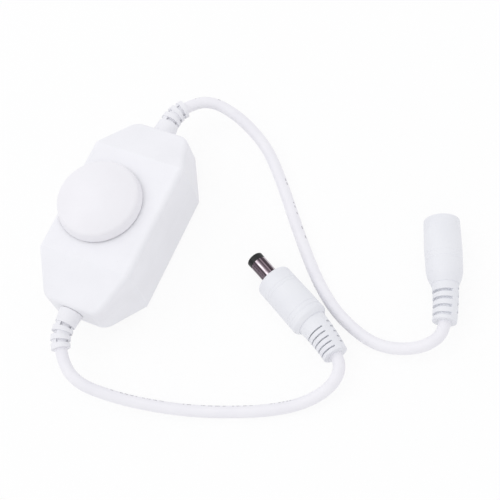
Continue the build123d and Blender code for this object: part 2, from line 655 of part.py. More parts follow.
def grip(style):
    """One moulded grip with its slotted tail bent to the side."""
    length = style["length"]
    line = [(radius, -share * length) for share, radius in style["stations"]]
    body = lathe([(0, 0)] + line + [(0, -length)])
    body = fillet(body.edges().group_by(Axis.Z)[-1], style["front_edge"])
    for share, radius in style["stations"][2:-1]:
        rings = [e for e in body.edges().filter_by(GeomType.CIRCLE) if abs(e.radius - radius) < SEAT_GAP / 10]
        body = fillet(rings, style["shoulder_edge"])
    for distance, depth in style["grooves"]:
        around = radius_at(style["stations"], distance / length)
        ring = Pos(around + GROOVE_R - depth, -distance) * Circle(GROOVE_R)
        body = body - revolve(Plane.XZ * ring, Axis.Z)
    turn = math.radians(style["tail_turn"])
    bend_r = style["tail"] / turn
    axis = Axis((0, -bend_r, -length), (-1, 0, 0))
    start = Vector(0, 0, -length)
    halfway, along = end_of_bend(start, Vector(0, 0, -1), Vector(0, -1, 0), bend_r, turn / 2)
    end, along = end_of_bend(start, Vector(0, 0, -1), Vector(0, -1, 0), bend_r, turn)
    near_r, far_r = style["tail_r"]
    near = Plane(origin=start, x_dir=(1, 0, 0), z_dir=(0, 0, -1)) * Circle(near_r)
    far = Plane(origin=end, x_dir=(1, 0, 0), z_dir=along) * Circle(far_r)
    tail = sweep([near, far], path=ThreePointArc(start, halfway, end), multisection=True)
    for index in range(style["slots"]):
        side_turn = Rot(0, 0, style["slot_sides"][index % 2])
        reach = side_turn * Pos(near_r * (1 + SLOT_EDGE), 0, 0) * Rectangle(2 * near_r, 2 * near_r + 1)
        cut = (Circle(near_r + 1) - Circle(TAIL_CORE_R)) & reach
        middle = (style["first_slot"] + index * style["slot_pitch"]) / bend_r
        half = style["slot_width"] / bend_r / 2
        tail = tail - swing(Pos(0, 0, -length) * cut, axis, middle - half, middle + half)
    return body + tail


def front_of(style):
    """The middle of a grip's front face when its widest part lies on the floor."""
    return Vector(*style["front"], max(radius for share, radius in style["stations"]))


def placed(style):
    """The frame of a connector lying on the floor, Z towards the mating end."""
    return Plane(origin=front_of(style), x_dir=(0, 0, 1), z_dir=level_direction(style["heading"]))


def tail_end(style):
    """Where the cord enters a connector's tail and which way it runs there, both in the row's frame."""
    turn = math.radians(style["tail_turn"])
    back = level_direction(style["heading"]) * -1
    aside = Vector(0, 0, 1).cross(back) * -1
    shoulder = front_of(style) + back * style["length"]
    end, away = end_of_bend(shoulder, back, aside, style["tail"] / turn, turn)
    return end, away * -1


plug_place = placed(PLUG).location
plug_body = grip(PLUG) - rod(BARREL_R + RUNNING_GAP, -BARREL_ROOT - SEAT_GAP, 0)
save(plug_place * plug_body, "plug_body")
metal_end = BARREL_LENGTH - CAP_LENGTH
barrel = tube(BARREL_R, BARREL_R - BARREL_WALL, -BARREL_ROOT, metal_end)
barrel = barrel + tube(ROOT_RING_R, BARREL_R, 0, ROOT_RING)
save(plug_place * barrel, "plug_barrel")
contact_r = PIN_HOLE_R + CONTACT_WALL
cap = tube(BARREL_R, contact_r + RUNNING_GAP, metal_end, BARREL_LENGTH)
cap = chamfer(cap.edges().group_by(Axis.Z)[-1], CAP_EDGE)
sleeve = tube(BARREL_R - BARREL_WALL - RUNNING_GAP, contact_r + RUNNING_GAP, -BARREL_ROOT, metal_end)
save(plug_place * (cap + sleeve), "plug_insulator")
contact = tube(contact_r, PIN_HOLE_R, -BARREL_ROOT + 1, BARREL_LENGTH - CONTACT_INSET)
contact = contact + rod(contact_r, -BARREL_ROOT, -BARREL_ROOT + 1)
save(plug_place * contact, "plug_centre_contact")

jack_place = placed(JACK).location
liner_low = -LINER_INSET - LINER_LENGTH
jack_body = grip(JACK) - rod(LINER_R + RUNNING_GAP, liner_low, 0)
save(jack_place * jack_body, "jack_body")
liner = tube(LINER_R, LINER_HOLE_R, liner_low, -LINER_INSET)
mouth = liner.edges().filter_by(GeomType.CIRCLE).group_by(Axis.Z)[-1].sort_by(SortBy.RADIUS)[0]
liner = chamfer(mouth, LOOSE_GAP)
liner_floor = liner_low + LINER_BACK
liner = liner + tube(LINER_R, PIN_ROOT_R + RUNNING_GAP, liner_low, liner_floor)
slot_x = LINER_HOLE_R + SPRING_THICK
slot = block(3 * SPRING_THICK, SPRING_WIDTH + LOOSE_GAP, liner_floor, -2 * LINER_BACK, (slot_x, 0))
liner = liner - slot
save(jack_place * liner, "jack_liner")
jack_pin = rod(PIN_ROOT_R, liner_low, liner_floor)
jack_pin = jack_pin + rod(JACK_PIN_R, liner_floor, liner_floor + JACK_PIN_LENGTH)
jack_pin = fillet(jack_pin.edges().group_by(Axis.Z)[-1], JACK_PIN_R * 0.6)
save(jack_place * jack_pin, "jack_centre_pin")
spring_line = [
    (LINER_HOLE_R + 2 * SPRING_THICK - RUNNING_GAP, liner_floor),
    (BARREL_R + SPRING_THICK + SEAT_GAP, liner_low + LINER_LENGTH / 2),
    (LINER_HOLE_R + 2 * SPRING_THICK - RUNNING_GAP, -2.6 * LINER_BACK),
]
inner_line = [(x - SPRING_THICK, z) for x, z in reversed(spring_line)]
leaf = make_face(Plane.XZ * Polyline(*spring_line, *inner_line, close=True))
spring = extrude(leaf, SPRING_WIDTH / 2, both=True)
save(jack_place * spring, "jack_spring_contact")

# Cords, each from its strain relief to its connector
jack_end, into_jack = tail_end(JACK)
plug_end, into_plug = tail_end(PLUG)
mirrored_start = Vector(-cord_start.X, cord_start.Y, cord_start.Z)
mirrored_out = Vector(-cord_out.X, cord_out.Y, cord_out.Z)
INPUT_ROUTE = [
    (51.9, -9.1, 10.1),
    (51.5, -14.6, 8.6),
    (49.9, -20.6, 6.8),
    (47.0, -26.7, 5.0),
    (43.3, -32.3, 3.4),
    (35.2, -40.1, 2.0),
    (18.6, -54.0, 1.9),
    (6.8, -64.9, 1.9),
    (-0.8, -74.2, 1.9),
    (-5.2, -83.5, 1.9),
    (-6.9, -90.4, 2.2),
    (-6.7, -96.9, 3.4),
    (-4.5, -103.4, 4.6),
    (-0.7, -107.7, 5.5),
]
OUTPUT_ROUTE = [
    (-53.2, -10.4, 9.8),
    (-53.0, -18.6, 7.4),
    (-50.9, -30.4, 3.9),
    (-46.8, -46.2, 1.9),
    (-40.6, -62.8, 1.9),
    (-35.5, -72.6, 1.9),
    (-31.0, -78.6, 2.7),
    (-26.3, -82.7, 4.0),
    (-21.3, -84.5, 5.3),
]
input_points = [cord_start, cord_start + cord_out * FIRST_RUN]
input_points += [Vector(*point) for point in INPUT_ROUTE]
input_points += [jack_end - into_jack * LAST_RUN, jack_end]
output_points = [mirrored_start, mirrored_start + mirrored_out * FIRST_RUN]
output_points += [Vector(*point) for point in OUTPUT_ROUTE]
output_points += [plug_end - into_plug * LAST_RUN, plug_end]
for points, node in ((input_points, "input_cord"), (output_points, "output_cord")):
    print(node, "ends", [tuple(round(v, 2) for v in point) for point in points[:2] + points[-2:]])
    save(tube_along(points, CORD_R, node), node)
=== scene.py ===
import json
import math

import bmesh
import bpy
from mathutils import Matrix, Vector


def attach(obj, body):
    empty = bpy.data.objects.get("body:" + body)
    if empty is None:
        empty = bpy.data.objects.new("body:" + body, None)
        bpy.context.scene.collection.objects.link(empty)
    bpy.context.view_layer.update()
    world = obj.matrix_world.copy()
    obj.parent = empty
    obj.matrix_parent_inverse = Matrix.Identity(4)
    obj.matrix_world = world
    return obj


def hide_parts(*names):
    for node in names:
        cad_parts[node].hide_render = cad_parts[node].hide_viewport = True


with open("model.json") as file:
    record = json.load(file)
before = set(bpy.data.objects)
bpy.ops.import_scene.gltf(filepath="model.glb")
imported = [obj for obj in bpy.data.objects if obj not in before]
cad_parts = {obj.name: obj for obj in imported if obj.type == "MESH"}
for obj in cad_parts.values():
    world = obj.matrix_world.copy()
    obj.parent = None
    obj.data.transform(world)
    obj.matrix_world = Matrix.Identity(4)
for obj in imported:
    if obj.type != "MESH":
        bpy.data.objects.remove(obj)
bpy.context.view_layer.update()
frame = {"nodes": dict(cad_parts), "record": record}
MM = 0.001
PER_MM = 1 / MM


# Casing: two halves moulded in white ABS from a lightly spark-eroded tool, so that the skin
# has a very fine even grain. The top half drops over a tongue of the bottom half, and the line
# where they meet runs round the middle and holds a little dust.
class Term:
    """A socket of a finish that takes part in sums as a number does."""

    def __init__(self, web, socket):
        self.web = web
        self.socket = socket

    def maths(self, operation, *terms):
        """A sum on the terms given, of the kind that the operation names."""
        return self.web.node("Math", {"operation": operation}, dict(enumerate(terms)))

    def __add__(self, other):
        return self.maths("ADD", self, other)

    def __radd__(self, other):
        return self.maths("ADD", other, self)

    def __sub__(self, other):
        return self.maths("SUBTRACT", self, other)

    def __rsub__(self, other):
        return self.maths("SUBTRACT", other, self)

    def __mul__(self, other):
        return self.maths("MULTIPLY", self, other)

    def __rmul__(self, other):
        return self.maths("MULTIPLY", other, self)

    def __pow__(self, other):
        return self.maths("POWER", self, other)

    def __mod__(self, other):
        return self.maths("FLOORED_MODULO", self, other)

    def __gt__(self, other):
        return self.maths("GREATER_THAN", self, other)

    def __lt__(self, other):
        return self.maths("LESS_THAN", self, other)

    def __abs__(self):
        return self.maths("ABSOLUTE", self)


class Web:
    """The nodes of one material or of the room, added one at a time."""

    def __init__(self, tree):
        self.tree = tree
        self.tree.nodes.clear()

    def node(self, kind, settings, values, out=0):
        """Adds a node, gives it its settings and then its sockets, and returns one output."""
        made = self.tree.nodes.new("ShaderNode" + kind)
        for name, setting in settings.items():
            setattr(made, name, setting)
        for name, value in values.items():
            if isinstance(value, Term):
                self.tree.links.new(value.socket, made.inputs[name])
            else:
                made.inputs[name].default_value = value
        return Term(self, made.outputs[out]) if made.outputs else None

    def seen_directly(self):
        """1 for what the camera, glossy metal or a clear piece sees, 0 for light that spreads."""
        rays = ("Is Camera Ray", "Is Glossy Ray", "Is Transmission Ray")
        camera_ray, glossy_ray, clear_ray = [self.node("LightPath", {}, {}, ray) for ray in rays]
        clamped_sum = {"operation": "ADD", "use_clamp": True}
        return self.node("Math", clamped_sum, {0: camera_ray + glossy_ray, 1: clear_ray})


class Finish(Web):
    """One finish: a skin with constants of its own and whatever changes over the surface."""

    def __init__(self, name, **constants):
        self.material = bpy.data.materials.new(name)
        self.material.use_nodes = True
        super().__init__(self.material.node_tree)
        named = {}
        for socket, value in constants.items():
            named[socket.replace("_", " ").title().replace("Ior", "IOR")] = value
        self.skin = self.node("BsdfPrincipled", {}, named)

    def place(self):
        """Where a point is in the object's own frame, in metres."""
        return self.node("TexCoord", {}, {}, "Object")

    def measured(self, axis):
        """That place along one axis, in millimetres."""
        return self.node("SeparateXYZ", {}, {0: self.place()}, axis) * PER_MM

    def vector(self, operation, values, out=0):
        """A sum on places or directions."""
        return self.node("VectorMath", {"operation": operation}, values, out)

    def seen_from(self, x, y):
        """How high a point lies and how far out from an upright axis, in millimetres."""
        moved = self.vector("SUBTRACT", {0: self.place(), 1: (x * MM, y * MM, 0)})
        along = self.vector("DOT_PRODUCT", {0: moved, 1: (0, 0, 1)}, "Value")
        whole = self.vector("LENGTH", {0: moved}, "Value")
        return along * PER_MM, (whole * whole - along * along) ** 0.5 * PER_MM

    def noise(self, per_mm, detail=2.0, rough=0.5, along=(1, 1, 1)):
        """Cloudy noise from 0 to 1, so many lumps to a millimetre, its axes drawn out or in."""
        at = self.vector("MULTIPLY", {0: self.place(), 1: along})
        values = {"Vector": at, "Scale": per_mm * PER_MM, "Detail": detail, "Roughness": rough}
        return self.node("TexNoise", {}, values)

    def cells(self, per_mm, settings, out="Distance"):
        """Distances among scattered points, with so many of them to a millimetre."""
        values = {"Vector": self.place(), "Scale": per_mm * PER_MM}
        return self.node("TexVoronoi", settings, values, out)

    def clamped(self, term, low, high):
        """A number drawn out so that low becomes 0 and high becomes 1, and held between them."""
        values = {"Value": term, "From Min": low, "From Max": high}
        return self.node("MapRange", {"clamp": True}, values)

    def blend(self, mask, first, second):
        """Two colours mixed by a mask."""
        return self.node("Mix", {"data_type": "RGBA"}, {0: mask, 6: first, 7: second}, 2)

    def bump(self, height, reach_mm, over=None):
        """Raises the skin by a height between 0 and 1, so many millimetres high."""
        values = {"Height": height, "Distance": reach_mm * MM, "Strength": 1.0}
        if over:
            values["Normal"] = over
        return self.node("Bump", {}, values)

    def wear(self, shown=None, **changes):
        """Joins what changes over the surface to the skin, which shows if nothing else does."""
        sockets = self.skin.socket.node.inputs
        for socket, term in changes.items():
            self.tree.links.new(term.socket, sockets[socket.replace("_", " ").title()])
        self.node("OutputMaterial", {}, {"Surface": shown or self.skin})
        return self.material


def rgb(red, green, blue):
    """A colour as it reads on a screen, from 0 to 255, turned into light."""

    def light(level):
        share = level / 255
        return share / 12.92 if share <= 0.04045 else ((share + 0.055) / 1.055) ** 2.4

    return light(red), light(green), light(blue), 1.0


def dress(node, material):
    """Gives a CAD node its finish."""
    piece = frame["nodes"][node]
    for holder in piece.material_slots:
        holder.material = material
    return piece


def moulding(name, tone, shade, roughness, grain, depth, **constants):
    """Moulded plastic: faint flow clouds, an even tool grain, rubbed patches and a few specks."""
    finish = Finish(name, **constants)
    clouds = finish.clamped(finish.noise(0.07, 3.0), 0.35, 0.68)
    fine = finish.noise(grain, 2.0, 0.6)
    rubbed = finish.clamped(finish.noise(0.18, 4.0, 0.65), 0.52, 0.72)
    specks = finish.clamped(finish.cells(0.42, {"feature": "F1"}), 0.05, 0.028)
    clouded = finish.blend(clouds, tone, shade)
    finish.color = finish.blend(specks * 0.25, clouded, rgb(176, 170, 166))
    finish.gloss = roughness + (fine - 0.5) * 0.10 - rubbed * 0.08
    finish.relief = finish.bump(fine, depth, over=finish.bump(finish.noise(0.3, 1.0), 0.02))
    return finish


PARTING_Z = 12.8
PARTING_HALF = 0.05
PARTING_SOFT = 0.16
casing_finish = moulding("casing_white", rgb(244, 244, 248), rgb(240, 240, 244), 0.48, 9.0, 0.012)
from_parting = abs(casing_finish.measured("Z") - PARTING_Z)
parting = casing_finish.clamped(from_parting, PARTING_SOFT, PARTING_HALF)
dusty = parting * casing_finish.clamped(casing_finish.noise(0.5, 3.0), 0.3, 0.6)
casing_white = casing_finish.wear(
    base_color=casing_finish.blend(dusty * 0.12, casing_finish.color, rgb(190, 186, 184)),
    roughness=casing_finish.gloss,
    normal=casing_finish.bump(1 - parting, 0.03, over=casing_finish.relief),
)
for half in ("bottom_casing", "top_casing"):
    dress(half, casing_white)


# Circuit board: glass laminate 1.6 mm thick under green lacquer. The copper tracks below the
# lacquer lift it a little and show as a lighter green, and the sawn edge is straw-coloured.
BOARD_HALF_LENGTH = 18.9
BOARD_HALF_WIDTH = 12.5
SAWN_DEPTH = 0.07
board_finish = Finish("green_board", coat_weight=0.3)
track_edges = board_finish.cells(0.35, {"feature": "DISTANCE_TO_EDGE", "distance": "EUCLIDEAN"})
blocky = board_finish.cells(0.28, {"feature": "F1", "distance": "CHEBYCHEV"})
pads = board_finish.clamped(abs(blocky - 0.32), 0.10, 0.07)
copper = board_finish.clamped(pads + board_finish.clamped(track_edges, 0.10, 0.13), 0.2, 0.9)
warp = board_finish.noise(2.6, 2.0, 0.6, (1, 0.2, 1))
weft = board_finish.noise(2.6, 2.0, 0.6, (0.2, 1, 1))
board_weave = warp * weft
sawn = 0
for axis, half in (("X", BOARD_HALF_LENGTH), ("Y", BOARD_HALF_WIDTH)):
    reach = abs(board_finish.measured(axis))
    sawn = sawn + board_finish.clamped(reach, half, half + SAWN_DEPTH)
sawn = board_finish.clamped(sawn, 0, 1)
lacquer = board_finish.blend(copper, rgb(22, 88, 46), rgb(44, 122, 62))
board_green = board_finish.wear(
    base_color=board_finish.blend(sawn, lacquer, rgb(176, 160, 112)),
    roughness=0.28 + board_weave * 0.3 + sawn * 0.4,
    normal=board_finish.bump(copper, 0.035, over=board_finish.bump(board_weave, 0.02)),
)
dress("circuit_board", board_green)


# Packages on the board: the power transistor, the control chip and the diode are black epoxy
# mouldings with a fine eroded skin and a few rubbed patches.
def plain_moulding(name, *look, **constants):
    """A moulding with nothing more on its skin."""
    finish = moulding(name, *look, **constants)
    return finish.wear(base_color=finish.color, roughness=finish.gloss, normal=finish.relief)


package_black = plain_moulding(
    "black_package", rgb(38, 38, 40), rgb(30, 30, 32), 0.55, 12.0, 0.014
)
for package in ("power_transistor", "control_chip", "diode"):
    dress(package, package_black)


# Chip resistors and ceramic capacitors: small fired blocks with a glazed or bare body and a
# tinned cap at each end, where the solder wets them.
RESISTOR_PLACES = [(-6.3, -8.0), (-6.3, -10.4), (5.2, -8.2), (-12.8, 0.2), (-12.8, 2.6)]
CERAMIC_PLACES = [(9.6, -6.4), (12.6, -4.6), (12.4, 1.4)]
CHIP_CAP_STARTS = 0.68
CHIP_REACH = (1.3, 0.9)


def capped_block(name, places, body, body_gloss, cloud):
    """A fired body in its colour between tinned end caps, at each of some places on the board."""
    finish = Finish(name)
    across, depth = finish.measured("X"), finish.measured("Y")
    caps = 0
    for x, y in places:
        near = (abs(depth - y) < CHIP_REACH[1]) * (abs(across - x) < CHIP_REACH[0])
        caps = caps + near * (abs(across - x) > CHIP_CAP_STARTS)
    mottle = finish.noise(3.5, 3.0, 0.6)
    fired = finish.blend(finish.clamped(mottle, 0.4, 0.65), body, cloud)
    return finish.wear(
        base_color=finish.blend(caps, fired, rgb(206, 206, 208)),
        metallic=caps * 1.0,
        roughness=body_gloss + caps * 0.1 + (mottle - 0.5) * 0.15,
        normal=finish.bump(mottle, 0.02),
    )


resistor_finish = capped_block(
    "chip_resistor", RESISTOR_PLACES, rgb(28, 28, 32), 0.25, rgb(36, 36, 40)
)
dress("resistors", resistor_finish)
ceramic_finish = capped_block(
    "chip_ceramic", CERAMIC_PLACES, rgb(176, 148, 112), 0.45, rgb(188, 162, 126)
)
dress("ceramic_capacitors", ceramic_finish)


# Leads and tags: copper alloy strip and wire, dipped in tin, so they are dull silver with soft
# runs in the coating. Small cones of solder hold them to the board.
def tinned(name, tone, roughness, run):
    """Dull metal with clouds, fine pits and soft runs in its coating."""
    finish = Finish(name, metallic=1.0)
    cloud = finish.noise(0.9, 3.0, 0.6)
    pits = finish.clamped(finish.cells(2.2, {"feature": "F1"}), 0.16, 0.08)
    darker = tuple(0.72 * c for c in tone[:3]) + (1.0,)
    return finish.wear(
        base_color=finish.blend(finish.clamped(cloud, 0.35, 0.7), tone, darker),
        roughness=roughness + (cloud - 0.5) * 0.3 + pits * 0.15,
        normal=finish.bump(pits, -0.02, over=finish.bump(cloud, run)),
    )


tinned_lead = tinned("tinned_lead", rgb(214, 214, 216), 0.32, 0.05)
for leads in ("transistor_legs", "chip_pins", "capacitor_leads", "diode_ends", "pot_terminals"):
    dress(leads, tinned_lead)
solder_grey = tinned("solder_grey", rgb(190, 192, 196), 0.26, 0.12)
dress("solder_joints", solder_grey)


# Filter capacitor: a drawn aluminium can in a shrunk dark sleeve with a pale stripe on the
# negative side. The sleeve is cut short of the top, where the bare scored metal shows.
CAN_AXIS = (14.0, 7.2)
CAN_TOP = 19.3
CAN_R = 3.15
SLEEVE_ENDS = 0.35
SLEEVE_LIP = 0.45
STRIPE_STARTS = 2.6
DASH_PITCH = 1.6
DASH_REACH = (0.7, 0.16)
can_finish = Finish("capacitor_can", coat_weight=0.2)
can_along, can_out = can_finish.seen_from(*CAN_AXIS)
bare = (can_along > CAN_TOP - SLEEVE_ENDS) * (can_out < CAN_R - SLEEVE_LIP)
stripe = (can_finish.measured("X") > CAN_AXIS[0] + STRIPE_STARTS) * (1 - bare)
dashes = stripe * (abs((can_along % DASH_PITCH) - DASH_PITCH / 2) < DASH_REACH[1])
dashes = dashes * (abs(can_finish.measured("Y") - CAN_AXIS[1]) < DASH_REACH[0])
spun = can_finish.noise(1.2, 3.0, 0.6, (1, 1, 8))
sleeve = can_finish.blend(spun, rgb(30, 36, 58), rgb(38, 44, 68))
sleeve = can_finish.blend(stripe, sleeve, rgb(168, 174, 184))
sleeve = can_finish.blend(dashes, sleeve, rgb(30, 36, 58))
can_skin = can_finish.wear(
    base_color=can_finish.blend(bare, sleeve, rgb(205, 206, 210)),
    metallic=bare * 1.0,
    roughness=0.3 + (spun - 0.5) * 0.2 + bare * 0.05,
    normal=can_finish.bump(spun, 0.02),
)
dress("filter_capacitor", can_skin)


# Pot: a black phenolic cup on the board holds a brown paper laminate printed with rings of
# carbon film. The rotor carries a stamped brass wiper over them, and a plated steel plate with
# a drawn bush closes the cup and steadies the aluminium shaft, which a spring ring keeps in.
KNOB_AXIS = (0.0, 3.9)
FILM_RINGS = [(3.3, 4.2), (4.5, 5.8)]
TRACK_TOP = 13.8
FILM_DEPTH = 0.15
phenolic = plain_moulding("black_phenolic", rgb(46, 40, 36), rgb(36, 31, 28), 0.42, 6.0, 0.02)
for moulded in ("pot_body", "pot_rotor"):
    dress(moulded, phenolic)

track_finish = Finish("printed_track")
track_along, track_out = track_finish.seen_from(*KNOB_AXIS)
film = 0
for near_r, far_r in FILM_RINGS:
    film = film + (track_out > near_r) * (track_out < far_r)
film = film * (track_along > TRACK_TOP - FILM_DEPTH)
paper = track_finish.noise(1.1, 4.0, 0.65, (3, 1, 1))
grooved = track_finish.noise(0.9, 3.0, 0.6)
laminate = track_finish.blend(paper, rgb(128, 86, 48), rgb(104, 66, 36))
carbon = track_finish.blend(grooved, rgb(34, 33, 34), rgb(48, 47, 48))
track_skin = track_finish.wear(
    base_color=track_finish.blend(film, laminate, carbon),
    roughness=0.5 - film * 0.15 + (paper - 0.5) * 0.2,
    normal=track_finish.bump(paper, 0.015),
)
dress("pot_track", track_skin)


def sheet_metal(name, tone, roughness, lines, scratch):
    """Rolled or drawn metal with fine lines one way, a few scratches and dulled patches."""
    finish = Finish(name, metallic=1.0)
    grain = finish.noise(3.0, 3.0, 0.6, lines)
    patches = finish.clamped(finish.noise(0.25, 3.0, 0.6), 0.4, 0.7)
    scored = finish.clamped(finish.noise(0.8, 2.0, 0.5, scratch), 0.66, 0.72)
    dull = tuple(0.8 * c for c in tone[:3]) + (1.0,)
    return finish.wear(
        base_color=finish.blend(patches * 0.6 + scored * 0.3, tone, dull),
        roughness=roughness + (grain - 0.5) * 0.22 + patches * 0.08,
        normal=finish.bump(grain, 0.012, over=finish.bump(scored, -0.02)),
    )


brass = sheet_metal("spring_brass", rgb(214, 176, 96), 0.28, (1, 9, 1), (6, 0.6, 1))
dress("pot_wiper", brass)
plated = sheet_metal("plated_steel", rgb(198, 198, 200), 0.34, (9, 1, 1), (0.6, 6, 1))
dress("pot_front_plate", plated)
turned = sheet_metal("turned_aluminium", rgb(212, 212, 214), 0.3, (0.4, 0.4, 14), (1, 1, 7))
dress("pot_shaft", turned)
blued = sheet_metal("spring_steel", rgb(120, 118, 122), 0.36, (5, 5, 1), (1, 5, 1))
dress("pot_retaining_ring", blued)


# Wires: stranded copper in red and black PVC. Two of them lead from the cut end of each cord to
# the board, where they are soldered.
def insulation(name, tone, shade):
    """Extruded PVC: glossy, with faint draw marks and finger-dulled patches."""
    finish = Finish(name)
    drawn = finish.noise(0.6, 3.0, 0.6, (0.5, 3, 3))
    dulled = finish.clamped(finish.noise(0.35, 3.0, 0.6), 0.45, 0.7)
    return finish.wear(
        base_color=finish.blend(drawn, tone, shade),
        roughness=0.3 + dulled * 0.18 + (drawn - 0.5) * 0.1,
        normal=finish.bump(drawn, 0.02),
    )


red_wire = insulation("red_insulation", rgb(198, 36, 34), rgb(176, 26, 28))
black_wire = insulation("black_insulation", rgb(36, 36, 38), rgb(26, 26, 28))
for end in ("input", "output"):
    dress(f"{end}_positive_wire", red_wire)
    dress(f"{end}_negative_wire", black_wire)


# Screws: cross-head self-tapping screws in bright zinc, two up through the board into posts and
# four up through the bottom half into the bosses of the top half, their heads sunk in wells.
zinc = sheet_metal("zinc_screw", rgb(196, 194, 186), 0.3, (2, 2, 9), (5, 1, 2))
for screws in ("board_screws", "casing_screws"):
    dress(screws, zinc)


# Knob: a thin cap moulded in the same white ABS from a finer tool, with a satin dome. Fingers
# have polished its rim a little, and its hub reaches down through the casing to grip the shaft.
KNOB_RIM = (11.0, 13.5)
knob_finish = moulding("knob_white", rgb(243, 242, 246), rgb(240, 239, 243), 0.42, 7.0, 0.007)
knob_out = knob_finish.seen_from(*KNOB_AXIS)[1]
rim = knob_finish.clamped(knob_out, *KNOB_RIM)
handled = rim * knob_finish.clamped(knob_finish.noise(0.3, 3.0, 0.6), 0.35, 0.7)
knob_white = knob_finish.wear(
    base_color=knob_finish.color,
    roughness=knob_finish.gloss - handled * 0.08,
    normal=knob_finish.relief,
)
dress("dimmer_knob", knob_white)


# Strain reliefs: soft white PVC moulded over each cord, a smooth collar at the casing and then
# rings joined by pairs of bridges, so that they bend with the cord. A little matter than the ABS.
relief_white = plain_moulding(
    "relief_white", rgb(241, 241, 245), rgb(237, 237, 241), 0.56, 6.0, 0.016
)
for relief in ("input_strain_relief", "output_strain_relief"):
    dress(relief, relief_white)


# Cords: round flexible PVC leads, 3.8 mm thick, that leave the reliefs, sink to the table and
# run to the connectors in loose curves. Groups of short ink ticks run along one side.
CORD_DIAMETER = 3.8
CORD_TONE = rgb(244, 243, 247)
CORD_SHADE = rgb(240, 239, 244)
INK = rgb(96, 94, 100)
TICK_PITCH = 1.9
TICK_LENGTH = 1.2
GROUP_PITCH = 8.3
GROUP_LENGTH = 6.6
TICK_HALF_TURN = 0.022
INK_STRENGTH = 0.55


def jacket(name, tick_side=0.0, printed=()):
    """Extruded white PVC with draw marks, and ink ticks on some stretches of a cord."""
    finish = Finish(name)
    cloud = finish.clamped(finish.noise(0.12, 3.0), 0.35, 0.7)
    fine = finish.noise(5.0, 2.0)
    color = finish.blend(cloud, CORD_TONE, CORD_SHADE)
    if printed:
        laid = finish.node("TexCoord", {}, {}, "UV")
        share = finish.node("SeparateXYZ", {}, {0: laid}, "X")
        round_it = finish.node("SeparateXYZ", {}, {0: laid}, "Y")
        ticks = 0
        for start, end, spread in printed:
            along = share * spread
            tick = ((along % TICK_PITCH) < TICK_LENGTH) * ((along % GROUP_PITCH) < GROUP_LENGTH)
            ticks = ticks + (share > start) * (share < end) * tick
        high = abs(round_it - tick_side) < TICK_HALF_TURN
        worn = finish.clamped(finish.noise(2.2, 2.0, 0.6), 0.32, 0.5)
        color = finish.blend(ticks * high * worn * INK_STRENGTH, color, INK)
    return finish.wear(
        base_color=color,
        roughness=0.5 + (fine - 0.5) * 0.12 - cloud * 0.05,
        normal=finish.bump(fine, 0.012),
    )


def laid_cord(name, points, skin):
    """One open smooth line through the frame, as thick as the cord."""
    line = bpy.data.curves.new(name, "CURVE")
    line.dimensions = "3D"
    spline = line.splines.new("NURBS")
    spline.points.add(len(points) - 1)
    for held, (x, y, z) in zip(spline.points, points):
        held.co = (x * MM, y * MM, z * MM, 1)
    spline.order_u = 3
    spline.use_endpoint_u = True
    spline.resolution_u = 16
    line.bevel_depth = CORD_DIAMETER / 2 * MM
    line.bevel_resolution = 10
    line.use_fill_caps = True
    line.materials.append(skin)
    piece = bpy.data.objects.new(name, line)
    bpy.context.collection.objects.link(piece)
    return piece


input_points = [
    (45.65, -1.31, 12.18),
    (49.84, -4.2, 11.41),
    (51.9, -9.1, 10.1),
    (51.5, -14.6, 8.6),
    (49.9, -20.6, 6.8),
    (47.0, -26.7, 5.0),
    (43.3, -32.3, 3.4),
    (35.2, -40.1, 2.0),
    (18.6, -54.0, 1.9),
    (6.8, -64.9, 1.9),
    (-0.8, -74.2, 1.9),
    (-5.2, -83.5, 1.9),
    (-6.9, -90.4, 2.2),
    (-6.7, -96.9, 3.4),
    (-4.5, -103.4, 4.6),
    (-0.7, -107.7, 5.5),
    (3.29, -108.9, 5.9),
    (5.8, -108.19, 5.9),
]
output_points = [
    (-45.65, -1.31, 12.18),
    (-49.84, -4.2, 11.41),
    (-53.2, -10.4, 9.8),
    (-53.0, -18.6, 7.4),
    (-50.9, -30.4, 3.9),
    (-46.8, -46.2, 1.9),
    (-40.6, -62.8, 1.9),
    (-35.5, -72.6, 1.9),
    (-31.0, -78.6, 2.7),
    (-26.3, -82.7, 4.0),
    (-21.3, -84.5, 5.3),
    (-17.14, -83.34, 6.1),
    (-15.54, -81.29, 6.1),
]
jack_pieces = ["jack_body", "jack_liner", "jack_centre_pin", "jack_spring_contact"]
plug_pieces = ["plug_body", "plug_barrel", "plug_insulator", "plug_centre_contact"]
input_print = [
    (0.03, 0.042, 96),
    (0.102, 0.114, 96),
    (0.4, 0.418, 318),
    (0.432, 0.447, 318),
    (0.458, 0.476, 318),
]
output_print = [(0.24, 0.36, 158), (0.39, 0.53, 158), (0.55, 0.62, 158)]
for name, node, points, length, ends, tick_side, printed in (
    ("input_lead", "input_cord", input_points, 140.63, jack_pieces, 0.12, input_print),
    ("output_lead", "output_cord", output_points, 104.38, plug_pieces, 0.02, output_print),
):
    lead = laid_cord(name, points, jacket(name + "_white", tick_side, printed))
    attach(lead, "housing")
    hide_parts(node)
cut_jacket = jacket("cut_jacket_white")
for stub in ("input_jacket_end", "output_jacket_end"):
    dress(stub, cut_jacket)


# Connector grips: soft white PVC moulded over the ends of the cords, smooth with fine pressed
# rings, then a thinner tail cut with slots by turns on its two sides, so that it bends.
grip_white = plain_moulding(
    "grip_white", rgb(238, 239, 243), rgb(234, 235, 240), 0.5, 6.0, 0.014
)
for grip in ("plug_body", "jack_body"):
    dress(grip, grip_white)
